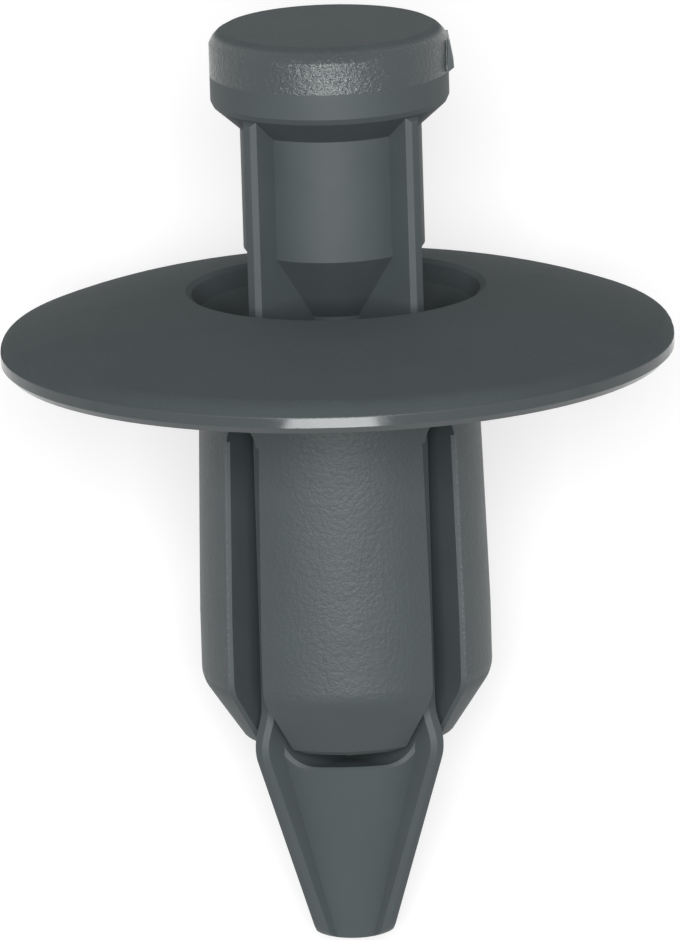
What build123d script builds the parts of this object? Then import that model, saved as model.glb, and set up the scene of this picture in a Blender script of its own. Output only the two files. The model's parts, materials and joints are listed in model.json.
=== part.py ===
from build123d import *
import math
import os

# Plastic push rivet: a slotted grommet with a domed flange, and the pin that is pushed in to spread it.
# Sizes in mm. Each piece is first drawn upright on the rivet's own axis: Z = 0 is the face of the flange
# that seats on the panel, the pin's head is up, and the pin stands raised, ready to be pushed in.

# grommet, flange
flange_d = 20.0
crown_h = 2.15  # seat to the lip of the recess
rim_h = 0.83  # seat to the dome's outer edge
dome_bulge = 0.265  # of the dome over its chord
rim_round = 0.5
seat_bevel = 0.2
seat_w = 0.85  # flat ring that bears on the panel
web_h = 0.88  # seat to the underside beside the shank

# grommet, recess for the head
lip_r = 4.34
lip_bevel = 0.12
recess_cone_h = 1.55

# grommet, legs
shank_r = 4.19
shank_len = 2.0  # below the seat
leg_r = 4.33  # the legs swell to this
leg_swell = 7.5  # below the seat
leg_shoulder = 9.55  # below the seat
leg_len = 11.45  # below the seat
leg_end_r = 3.05
leg_shoulder_round = 1.0
leg_end_bevel = 0.2
leg_edge_bevel = 0.13  # along the slots
leg_corner_round = 0.55  # where the slots open at the legs' ends
leg_corner_drop = 0.02  # of that round below the ends, which it meets at a small angle
slot_w = 1.2
slot_top = 1.3  # below the seat

# pin, head
head_r = 3.54
head_h = 2.2  # top to the lower edge of the side
head_under_h = 0.75  # height of the conical underside
head_top_edge = 0.42  # width and height of the rounded edge
head_edge_bulge = 0.065  # of the edge over its chord
head_low_bevel = 0.1
lug_out = 0.15  # beyond the head's side
lug_w = 1.4
lug_top = 0.38  # these three below the top of the head
lug_nose = 1.23
lug_low = 1.35

# pin, shank
stem_r = 2.69
stem_len = 3.63
ramp_len = 1.96
core_r = 1.25
fin_w = 0.55
fin_r = 3.51
fin_bevel = 0.14
fin_foot_r = 3.9  # where the fins leave the slots and meet the tip
fin_foot_rise = 0.2  # of the widest part, above the legs' ends
fin_foot_round = 1.2
fin_flare_len = 1.0

# pin, tip
tip_len = 5.72
tip_half = 2.68  # middle of a face from the axis, at the shoulder
tip_corner = 2.12
tip_end_half = 1.02  # the same two at the end
tip_end_corner = 0.8
tip_end_fin_r = 1.4
tip_edge_bevel = 0.1
pocket_round = 0.75  # root of each fin, in the pocket where a leg ends
pocket_rise = 1.0  # of that root, above the shoulder
tip_end_round = 1.05

# fits
travel = 7.9  # of the pin, from raised to flush with the crown
bore_gap = 0.06
groove_gap = 0.08
toe_gap = 0.1
socket_gap = 0.15
stop_gap = 0.05  # left between head and seat at the end of the travel
tip_gap = 0.45  # legs' ends to the tip's shoulder while raised

# heights that follow
head_top = crown_h + travel
head_low = head_top - head_h
stem_top = head_low - head_under_h
stem_end = stem_top - stem_len
shoulder = -leg_len - tip_gap
tip_end = shoulder - tip_len
under_slope = head_under_h / (head_r - stem_r)
arc_rise = 1 - math.sqrt(0.5)  # of a quarter circle over its chord, for a radius of 1

lie_tolerance = 0.0005  # degrees


def bulged(start, end, height):
    """Arc from start to end whose middle stands off the chord, to its left."""
    dx, dy = end[0] - start[0], end[1] - start[1]
    length = math.hypot(dx, dy)
    middle = ((start[0] + end[0]) / 2 - dy / length * height, (start[1] + end[1]) / 2 + dx / length * height)
    return ThreePointArc(start, middle, end)


def rounded(face, corners):
    """The face with the corner nearest each (x, y) rounded by its radius."""
    for x, y, radius in corners:
        face = fillet(face.vertices().sort_by_distance((x, y, 0))[0], radius)
    return face


def bevelled(face, corners):
    """The face with the corner nearest each (x, y) bevelled by its length."""
    for x, y, length in corners:
        face = chamfer(face.vertices().sort_by_distance((x, y, 0))[0], length)
    return face


def turned(face):
    """The half profile (radius, height) turned about the rivet's axis, with its seam on a diagonal."""
    return Rot(0, 0, 45) * revolve(Plane.XZ * face, Axis.Z)


def diagonals(shape):
    """The shape, drawn across the axis along X, at both diagonals."""
    return [Rot(0, 0, 45) * shape, Rot(0, 0, -45) * shape]


def make_grommet():
    flange_r = flange_d / 2
    seat_in = flange_r - seat_bevel - seat_w
    socket_r = head_r + socket_gap
    bore_r = stem_r + bore_gap
    bore_end = stem_end - travel - 2 * bore_gap
    # the cone under the head's underside once the pin is home
    seat_low = head_low - travel - stop_gap
    seat_high = seat_low - (head_r - socket_r) * under_slope
    seat_low -= (head_r - bore_r) * under_slope

    lip = (lip_r, crown_h)
    rim = (flange_r, rim_h)
    outside = [
        (flange_r, seat_bevel),
        (flange_r - seat_bevel, 0),
        (seat_in, 0),
        (shank_r, web_h),
        (shank_r, -shank_len),
        (leg_r, -leg_swell),
    ]
    leg_bend = (leg_r, -leg_shoulder)
    leg_end = (leg_end_r, -leg_len)
    inside = [
        (core_r + toe_gap, -leg_len),
        (bore_r, bore_end),
        (bore_r, seat_low),
        (socket_r, seat_high),
        (socket_r, crown_h - recess_cone_h),
    ]
    profile = make_face(
        [
            bulged(lip, rim, dome_bulge),
            Polyline(rim, *outside, leg_bend, leg_end, *inside, lip),
        ]
    )
    profile = rounded(profile, [(*rim, rim_round), (*leg_bend, leg_shoulder_round)])
    body = turned(bevelled(profile, [(*lip, lip_bevel), (*leg_end, leg_end_bevel)]))

    # slots between the legs, with a round top and a flared mouth at the legs' ends
    half = slot_w / 2
    slot_high = -slot_top - half
    flare_low = leg_corner_round - leg_corner_drop - leg_len
    flare_end = flare_low - leg_corner_round
    flare_out = half + leg_corner_round
    mouth_low = -leg_len - slot_w
    section = make_face(
        [
            bulged((0, -slot_top), (half, slot_high), half * arc_rise),
            Polyline((half, slot_high), (half, flare_low)),
            bulged((half, flare_low), (flare_out, flare_end), -leg_corner_round * arc_rise),
            Polyline((flare_out, flare_end), (flare_out, mouth_low), (0, mouth_low), (0, -slot_top)),
        ]
    )
    section += mirror(section, Plane.YZ)
    slot = extrude(Plane.XZ * section, flange_r, both=True)
    # grooves that pass the fins through the collar
    groove_h = crown_h - slot_high
    groove = Pos(0, 0, slot_high + groove_h / 2) * Box(
        2 * (fin_r + groove_gap), fin_w + 2 * groove_gap, groove_h
    )
    for cut in diagonals(slot) + diagonals(groove):
        body -= cut

    # bevels along the slots' outer edges, as a V that follows the legs' outline
    def over_wall(radius, height):
        return (math.sqrt(radius**2 - half**2) - half - leg_edge_bevel, height)

    bend = over_wall(*leg_bend)
    vee = make_face(
        Polyline(
            over_wall(shank_r, slot_high),
            over_wall(shank_r, -shank_len),
            over_wall(leg_r, -leg_swell),
            bend,
            over_wall(*leg_end),
            (flange_r, -leg_len),
            (flange_r, slot_high),
            close=True,
        )
    )
    vee = Plane.YZ * rounded(vee, [(*bend, leg_shoulder_round)])
    vee = extrude(vee, slot_w, dir=(1, 1, 0))
    vee += mirror(vee, Plane.YZ)
    vee += mirror(vee, Plane.XZ)
    for cut in diagonals(vee):
        body -= cut
    return body


def make_pin():
    # head, stem, ramp and core
    core_end = shoulder - tip_len / 4
    head_edge = [(head_r - head_top_edge, head_top), (head_r, head_top - head_top_edge)]
    outline = [
        head_edge[1],
        (head_r, head_low),
        (stem_r, stem_top),
        (stem_r, stem_end),
        (core_r, stem_end - ramp_len),
        (core_r, core_end),
        (0, core_end),
        (0, head_top),
        head_edge[0],
    ]
    profile = make_face([Polyline(*outline), bulged(*head_edge, head_edge_bulge)])
    body = turned(bevelled(profile, [(head_r, head_low, head_low_bevel)]))

    # pry lug on the head's side
    lug_in = head_r - lug_out
    lug = make_face(
        Polyline(
            (lug_in, head_top - lug_top),
            (head_r, head_top - lug_top),
            (head_r + lug_out, head_top - lug_nose),
            (head_r, head_top - lug_low),
            (lug_in, head_top - lug_low),
            close=True,
        )
    )
    body += extrude(Plane.XZ * lug, lug_w / 2, both=True)

    # tip between the fins: four bulged faces that taper to the end
    def section(z):
        along = (shoulder - z) / tip_len
        half = tip_half + (tip_end_half - tip_half) * along
        corner = tip_corner + (tip_end_corner - tip_corner) * along
        arc = ThreePointArc((corner, -corner), (half, 0), (corner, corner))
        return Pos(0, 0, z) * make_face([Rot(0, 0, 90 * turn) * arc for turn in range(4)])

    pocket_top = shoulder + pocket_rise
    tip = loft([section(pocket_top), section(tip_end)], ruled=True)

    # pockets that clear the legs' ends, rounded at the fins' roots
    wall = fin_w / 2
    corners = [(wall, shoulder), (leg_r, shoulder), (leg_r, pocket_top), (wall, pocket_top)]
    side = make_face(Polyline(*corners, close=True))
    side = rounded(side, [(wall, shoulder, pocket_round)])
    beside = extrude(Plane.XZ * side, leg_r, both=True)
    pocket = beside & (Rot(0, 0, 90) * beside)
    for turn in range(4):
        tip -= Rot(0, 0, 45 + 90 * turn) * pocket

    # the pockets' floors end in a bevel
    def floor_rim(edge):
        middle = edge @ 0.5
        near_rim = math.hypot(middle.X, middle.Y) > tip_half - tip_edge_bevel / 2
        return abs(middle.Z - shoulder) < tip_edge_bevel / 2 and near_rim

    tip = chamfer(tip.edges().filter_by(floor_rim), tip_edge_bevel)

    # fins, from the head to the end of the tip
    fin_top = head_low - head_low_bevel
    foot = fin_foot_rise - leg_len
    fin = [
        (0, fin_top),
        (fin_r, fin_top),
        (fin_r, foot + fin_flare_len),
        (fin_foot_r, foot),
        (tip_end_fin_r, tip_end),
        (0, tip_end),
    ]
    side = make_face(Polyline(*fin, *[(-x, z) for x, z in fin[-2:0:-1]], close=True))
    for x, z in fin[2:4]:
        side = rounded(side, [(x, z, fin_foot_round), (-x, z, fin_foot_round)])
    bar = extrude(Plane.XZ * side, fin_w / 2, both=True)
    bar = chamfer(bar.edges().filter_by(lambda edge: abs((edge @ 0.5).X) > core_r), fin_bevel)
    for one in diagonals(bar):
        tip += one

    # the end is rounded all over
    foot_reach = math.hypot(fin_foot_r, fin_w / 2)
    end_reach = math.hypot(tip_end_fin_r, fin_w / 2)
    bound = make_face(
        Polyline(
            (0, head_top),
            (foot_reach, head_top),
            (foot_reach, foot),
            (end_reach, tip_end),
            (0, tip_end),
            close=True,
        )
    )
    bound = turned(rounded(bound, [(end_reach, tip_end, tip_end_round)]))
    return body + (tip & bound)


def laid_down(pieces):
    """The pieces as the rivet lies: on its flange's rim and on two ribs of the tip, its head towards +Y."""

    def lean(tilt):
        return Rot(tilt - 90, 0, 0)

    def rim_over_tip(tilt):
        lows = [(lean(tilt) * pieces[name]).bounding_box().min.Z for name in ("grommet", "pin")]
        return lows[0] - lows[1]

    # the tilt of the axis at which both touch the ground, by halving
    low, high = 0, 90
    while high - low > lie_tolerance:
        middle = (low + high) / 2
        if rim_over_tip(middle) > 0:
            high = middle
        else:
            low = middle
    tilt = (low + high) / 2
    box = Compound([lean(tilt) * piece for piece in pieces.values()]).bounding_box()
    place = Pos(-box.center().X, -box.center().Y, -box.min.Z) * lean(tilt)
    print("axis", round(tilt, 4), "degrees over the ground; origin moved by", place.position)
    return {name: place * piece for name, piece in pieces.items()}


def main():
    os.makedirs("parts", exist_ok=True)
    pieces = laid_down({"grommet": make_grommet(), "pin": make_pin()})
    for name, piece in pieces.items():
        print(name, len(piece.solids()), round(piece.volume, 3), piece.bounding_box())
        export_step(piece, f"parts/{name}.step")


main()
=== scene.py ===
import json
import math
import bpy
from mathutils import Matrix, Vector

# Push rivet in dark plastic, lying on a pale floor and seen from above its front.

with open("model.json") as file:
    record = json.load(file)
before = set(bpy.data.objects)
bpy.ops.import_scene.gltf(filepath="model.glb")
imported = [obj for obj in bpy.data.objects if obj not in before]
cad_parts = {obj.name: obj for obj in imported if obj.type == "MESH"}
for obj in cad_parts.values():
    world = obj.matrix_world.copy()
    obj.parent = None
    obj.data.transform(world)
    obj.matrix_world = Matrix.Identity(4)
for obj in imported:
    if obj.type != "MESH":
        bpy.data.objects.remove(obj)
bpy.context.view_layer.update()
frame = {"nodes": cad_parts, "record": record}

bpy.context.scene.view_settings.view_transform = "Standard"

MM = 0.001
FRAME_WIDTH, FRAME_HEIGHT = 680, 940  # pixels

# The rivet's own axis and the middle of its seat under the flange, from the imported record
SHANK_DROP = 0.56 * MM  # middle of the shank's wall below the seat
shank = next(mount for mount in frame["record"]["mounts"] if mount["name"] == "shank")
UP = -Vector(shank["axis"]).normalized()
SEAT = Vector(shank["pos_m"]) + UP * SHANK_DROP
SIDE = Vector((1, 0, 0))
FRONT = SIDE.cross(UP)


def from_rivet(side, front, up):
    """World direction of a direction given along the rivet's own axes."""
    return SIDE * side + FRONT * front + UP * up


# ---------------------------------------------------------------- camera
VIEW_DISTANCE = 450 * MM
VIEW_RISE = math.radians(12.95)  # over the flange's plane
VIEW_ROLL = math.radians(1.75)
PIXELS_PER_MM = 33.7
SEAT_PIXEL = (337.8, 357.3)
SENSOR = 36.0
NEAREST, FARTHEST = 10 * MM, 10.0  # that the camera sees


def add_camera():
    towards = from_rivet(0, -math.cos(VIEW_RISE), -math.sin(VIEW_RISE))
    upright = from_rivet(0, -math.sin(VIEW_RISE), math.cos(VIEW_RISE))
    right = SIDE * math.cos(VIEW_ROLL) - upright * math.sin(VIEW_ROLL)
    top = SIDE * math.sin(VIEW_ROLL) + upright * math.cos(VIEW_ROLL)
    focal = PIXELS_PER_MM / MM * VIEW_DISTANCE
    # turned a little so that the seat falls on its own pixel
    across, down = SEAT_PIXEL[0] - FRAME_WIDTH / 2, SEAT_PIXEL[1] - FRAME_HEIGHT / 2
    off_axis = Vector((across / focal, -down / focal, -1))
    turn = off_axis.rotation_difference(Vector((0, 0, -1))).to_matrix()
    axes = Matrix((right, top, -towards)).transposed() @ turn
    place = SEAT - towards * VIEW_DISTANCE
    data = bpy.data.cameras.new("camera")
    data.sensor_fit = "VERTICAL"
    data.sensor_height = SENSOR
    data.lens = focal / FRAME_HEIGHT * SENSOR
    data.clip_start, data.clip_end = NEAREST, FARTHEST
    camera = bpy.data.objects.new("camera", data)
    camera.matrix_world = Matrix.LocRotScale(place, axes.to_quaternion(), None)
    bpy.context.scene.collection.objects.link(camera)
    bpy.context.scene.camera = camera


# ---------------------------------------------------------------- shaders
class Value:
    """A socket of a shader, with arithmetic that adds Math nodes."""

    def __init__(self, shader, socket):
        self.shader, self.socket = shader, socket

    def math(self, operation, first, second):
        return self.shader.add("ShaderNodeMath", {"operation": operation}, {0: first, 1: second})

    def __add__(self, other):
        return self.math("ADD", self, other)

    def __sub__(self, other):
        return self.math("SUBTRACT", self, other)

    def __mul__(self, other):
        return self.math("MULTIPLY", self, other)

    def __rsub__(self, other):
        return self.math("SUBTRACT", other, self)


class Shader:
    """The nodes of one material or of the world."""

    def __init__(self, tree):
        self.tree = tree
        tree.nodes.clear()

    def add(self, kind, settings=None, sockets=None, output=0):
        node = self.tree.nodes.new(kind)
        for name, setting in (settings or {}).items():
            setattr(node, name, setting)
        for name, value in (sockets or {}).items():
            if isinstance(value, Value):
                self.tree.links.new(value.socket, node.inputs[name])
            else:
                node.inputs[name].default_value = value
        return Value(self, node.outputs[output]) if node.outputs else None


# ---------------------------------------------------------------- plastic
# heights over the seat and radii about the axis in millimetres
GRAIN_SIZE, GRAIN_DETAIL, GRAIN_SHARPNESS = 0.13 * MM, 3.0, 0.65
RIPPLE_SIZE, RIPPLE_DETAIL = 1.1 * MM, 1.0
RIPPLE_HEIGHT = 0.02  # this and the grain's heights in millimetres
CLOUD_SIZE, CLOUD_DETAIL = 1.7 * MM, 3.0
CLOUD_DEPTH = 0.06  # share by which the clouds lighten and darken the colour
CLOUD_CONTRAST, PIT_CONTRAST = 2.0, 0.5  # shares of clouds and grain in that
MIDDLE = 0.5  # of noise, and of the mix of two colours
PIT_ROUGHNESS = 0.08  # change of roughness with the grain
PLASTIC_IOR = 1.5
GROMMET_COLOUR = (0.054, 0.068, 0.072)
PIN_COLOUR = (0.060, 0.075, 0.079)

POLISHED_ROUGHNESS = 0.6
BODY_ROUGHNESS, BODY_GRAIN = 0.5, 0.028  # spark-eroded outside of the flange and legs
CROWN_ROUGHNESS = 0.87  # of the flange's top
FINE_BLUR, EDGE_BLUR, LAND_BLUR = 0.02, 0.04, 0.1  # width of the masks' soft steps
TOP_BLUR, TIP_BLUR = 0.2, 1.0
BODY_RADIUS = 4.11  # inside this the grommet's faces are polished
SWELL = 0.02  # gain of the legs' radius with depth under the seat
LAND_HEIGHT = 0.5  # of the flange's glossy edge
LAND_RADIUS = 9.6
LAND_ROUGHNESS = 0.13
LAND_DRAFT = math.tan(math.radians(8))
HEAD_ROUGHNESS, HEAD_GRAIN = 0.22, 0.045  # spark-eroded part of the head, over the parting line
HEAD_TOP_ROUGHNESS = 0.8
HEAD_TOP_RADIUS = 3.35  # of the head's flat top and its bevel
HEAD_DRAFT = math.tan(math.radians(8))
HEAD_RADIUS = 3.57  # outside this is the pry lug, which is polished
PARTING_HEIGHT = 8.70  # over the seat
TIP_HEIGHT = -8.5  # of the duller part of the pin
TIP_ROUGHNESS = 0.62


class Plastic(Shader):
    """Moulded plastic, with masks measured along the rivet's own axes in millimetres."""

    def __init__(self, name):
        self.material = bpy.data.materials.new(name)
        self.material.use_nodes = True
        super().__init__(self.material.node_tree)
        self.place = self.add("ShaderNodeTexCoord", output="Object")
        offset = self.add(
            "ShaderNodeVectorMath", {"operation": "SUBTRACT"}, {0: self.place, 1: SEAT}
        )
        self.height = self.add(
            "ShaderNodeVectorMath", {"operation": "DOT_PRODUCT"}, {0: offset, 1: UP / MM}, "Value"
        )
        across = self.add(
            "ShaderNodeVectorMath", {"operation": "CROSS_PRODUCT"}, {0: offset, 1: UP / MM}
        )
        self.radius = self.add(
            "ShaderNodeVectorMath", {"operation": "LENGTH"}, {0: across}, "Value"
        )

    def above(self, value, limit, blur):
        """1 where the value is over the limit, 0 below it, with a soft step this wide."""
        return self.add(
            "ShaderNodeMapRange",
            {"interpolation_type": "SMOOTHSTEP"},
            {"Value": value, "From Min": limit - blur / 2, "From Max": limit + blur / 2},
        )

    def noise(self, size, detail, sharpness=0.5):
        """Noise about 0 whose lumps are this many metres across."""
        return self.add(
            "ShaderNodeTexNoise",
            sockets={
                "Vector": self.place,
                "Scale": 1 / size,
                "Detail": detail,
                "Roughness": sharpness,
            },
        ) - MIDDLE

    def finish(self, colour, roughness, grain, draft):
        """Roughness and grain may vary over the piece; draft is the height of a small slope."""
        pits = self.noise(GRAIN_SIZE, GRAIN_DETAIL, GRAIN_SHARPNESS)
        clouds = self.noise(CLOUD_SIZE, CLOUD_DETAIL)
        shade = self.add(
            "ShaderNodeMix",
            {"data_type": "RGBA"},
            {
                "Factor": clouds * CLOUD_CONTRAST + pits * PIT_CONTRAST + MIDDLE,
                6: (*[channel * (1 - CLOUD_DEPTH) for channel in colour], 1),
                7: (*[channel * (1 + CLOUD_DEPTH) for channel in colour], 1),
            },
            output=2,
        )
        ripple = self.noise(RIPPLE_SIZE, RIPPLE_DETAIL)
        bump = self.add(
            "ShaderNodeBump",
            sockets={
                "Strength": 1.0,
                "Distance": MM,
                "Height": pits * grain + ripple * RIPPLE_HEIGHT + draft,
            },
        )
        surface = self.add(
            "ShaderNodeBsdfPrincipled",
            sockets={
                "Base Color": shade,
                "Roughness": roughness + pits * PIT_ROUGHNESS,
                "IOR": PLASTIC_IOR,
                "Normal": bump,
            },
        )
        self.add("ShaderNodeOutputMaterial", sockets={"Surface": surface})
        return self.material


def add_finishes():
    """Plastic for both pieces; each mask is 1 in its own zone and 0 elsewhere."""
    plastic = Plastic("grommet_plastic")
    outside = plastic.above(plastic.radius + plastic.height * SWELL, BODY_RADIUS, FINE_BLUR)
    land = plastic.above(plastic.radius, LAND_RADIUS, LAND_BLUR) * (
        1 - plastic.above(plastic.height, LAND_HEIGHT, EDGE_BLUR)
    )
    body = outside * (1 - land)
    crown = outside * plastic.above(plastic.height, LAND_HEIGHT, LAND_BLUR)
    roughness = (
        body * (BODY_ROUGHNESS - POLISHED_ROUGHNESS)
        + land * (LAND_ROUGHNESS - POLISHED_ROUGHNESS)
        + crown * (CROWN_ROUGHNESS - BODY_ROUGHNESS)
        + POLISHED_ROUGHNESS
    )
    draft = (LAND_HEIGHT - plastic.height) * land * LAND_DRAFT
    materials = {"grommet": plastic.finish(GROMMET_COLOUR, roughness, body * BODY_GRAIN, draft)}

    plastic = Plastic("pin_plastic")
    upper = plastic.above(plastic.height, PARTING_HEIGHT, EDGE_BLUR) * (
        1 - plastic.above(plastic.radius, HEAD_RADIUS, FINE_BLUR)
    )
    top = upper * (1 - plastic.above(plastic.radius, HEAD_TOP_RADIUS, TOP_BLUR))
    tip = 1 - plastic.above(plastic.height, TIP_HEIGHT, TIP_BLUR)
    roughness = (
        upper * (HEAD_ROUGHNESS - POLISHED_ROUGHNESS)
        + top * (HEAD_TOP_ROUGHNESS - HEAD_ROUGHNESS)
        + tip * (TIP_ROUGHNESS - POLISHED_ROUGHNESS)
        + POLISHED_ROUGHNESS
    )
    draft = (PARTING_HEIGHT - plastic.height) * upper * HEAD_DRAFT
    materials["pin"] = plastic.finish(PIN_COLOUR, roughness, upper * HEAD_GRAIN, draft)
    for node, material in materials.items():
        slots = frame["nodes"][node].data.materials
        slots.clear()
        slots.append(material)


# ---------------------------------------------------------------- floor and light
FLOOR_REACH = 3.0
FLOOR_SHADE = 0.4
FLOOR_GLOW = 0.68  # where it is seen, which with its own shade in the lamp's light makes white
SKY_STRENGTH = 0.06  # of the light that the sky gives the object
LAMP = {"azimuth": -1, "elevation": 14, "distance": 0.5, "size": 0.28, "glow": 11.0}


def only_seen(nodes, strength):
    """This strength for rays that show the background, and 0 for light on the object."""
    rays = ("Is Camera Ray", "Is Glossy Ray", "Is Transmission Ray")
    seen, glossy, clear = (nodes.add("ShaderNodeLightPath", output=ray) for ray in rays)
    return (seen + glossy + clear) * strength


def add_floor():
    material = bpy.data.materials.new("pale_floor")
    material.use_nodes = True
    nodes = Shader(material.node_tree)
    surface = nodes.add(
        "ShaderNodeBsdfPrincipled",
        sockets={
            "Base Color": (FLOOR_SHADE, FLOOR_SHADE, FLOOR_SHADE, 1),
            "Roughness": 1.0,
            "Specular IOR Level": 0.0,
            "Emission Color": (1, 1, 1, 1),
            "Emission Strength": only_seen(nodes, FLOOR_GLOW),
        },
    )
    nodes.add("ShaderNodeOutputMaterial", sockets={"Surface": surface})
    bpy.ops.mesh.primitive_plane_add(size=2 * FLOOR_REACH, location=(0, 0, 0))
    floor = bpy.context.object
    floor.name = "floor"
    floor.data.materials.append(material)


def add_sky():
    world = bpy.data.worlds.new("studio")
    world.use_nodes = True
    nodes = Shader(world.node_tree)
    strength = only_seen(nodes, 1 - SKY_STRENGTH) + SKY_STRENGTH
    background = nodes.add(
        "ShaderNodeBackground", sockets={"Color": (1, 1, 1, 1), "Strength": strength}
    )
    nodes.add("ShaderNodeOutputWorld", sockets={"Surface": background})
    bpy.context.scene.world = world


def add_softbox(name, azimuth, elevation, distance, size, glow):
    """A square soft box: azimuth is about the rivet's own axis, elevation towards its head."""
    azimuth, elevation = math.radians(azimuth), math.radians(elevation)
    level = math.cos(elevation)
    towards = from_rivet(math.sin(azimuth) * level, math.cos(azimuth) * level, math.sin(elevation))
    data = bpy.data.lights.new(name, "AREA")
    data.shape = "SQUARE"
    data.size = size
    # power of a square that glows this much in every direction
    data.energy = glow * math.pi * size**2
    lamp = bpy.data.objects.new(name, data)
    lamp.location = SEAT + towards * distance
    lamp.rotation_euler = towards.to_track_quat("Z", "Y").to_euler()
    lamp.visible_camera = False
    bpy.context.scene.collection.objects.link(lamp)


add_camera()
add_floor()
add_sky()
add_finishes()
add_softbox("front_box", **LAMP)
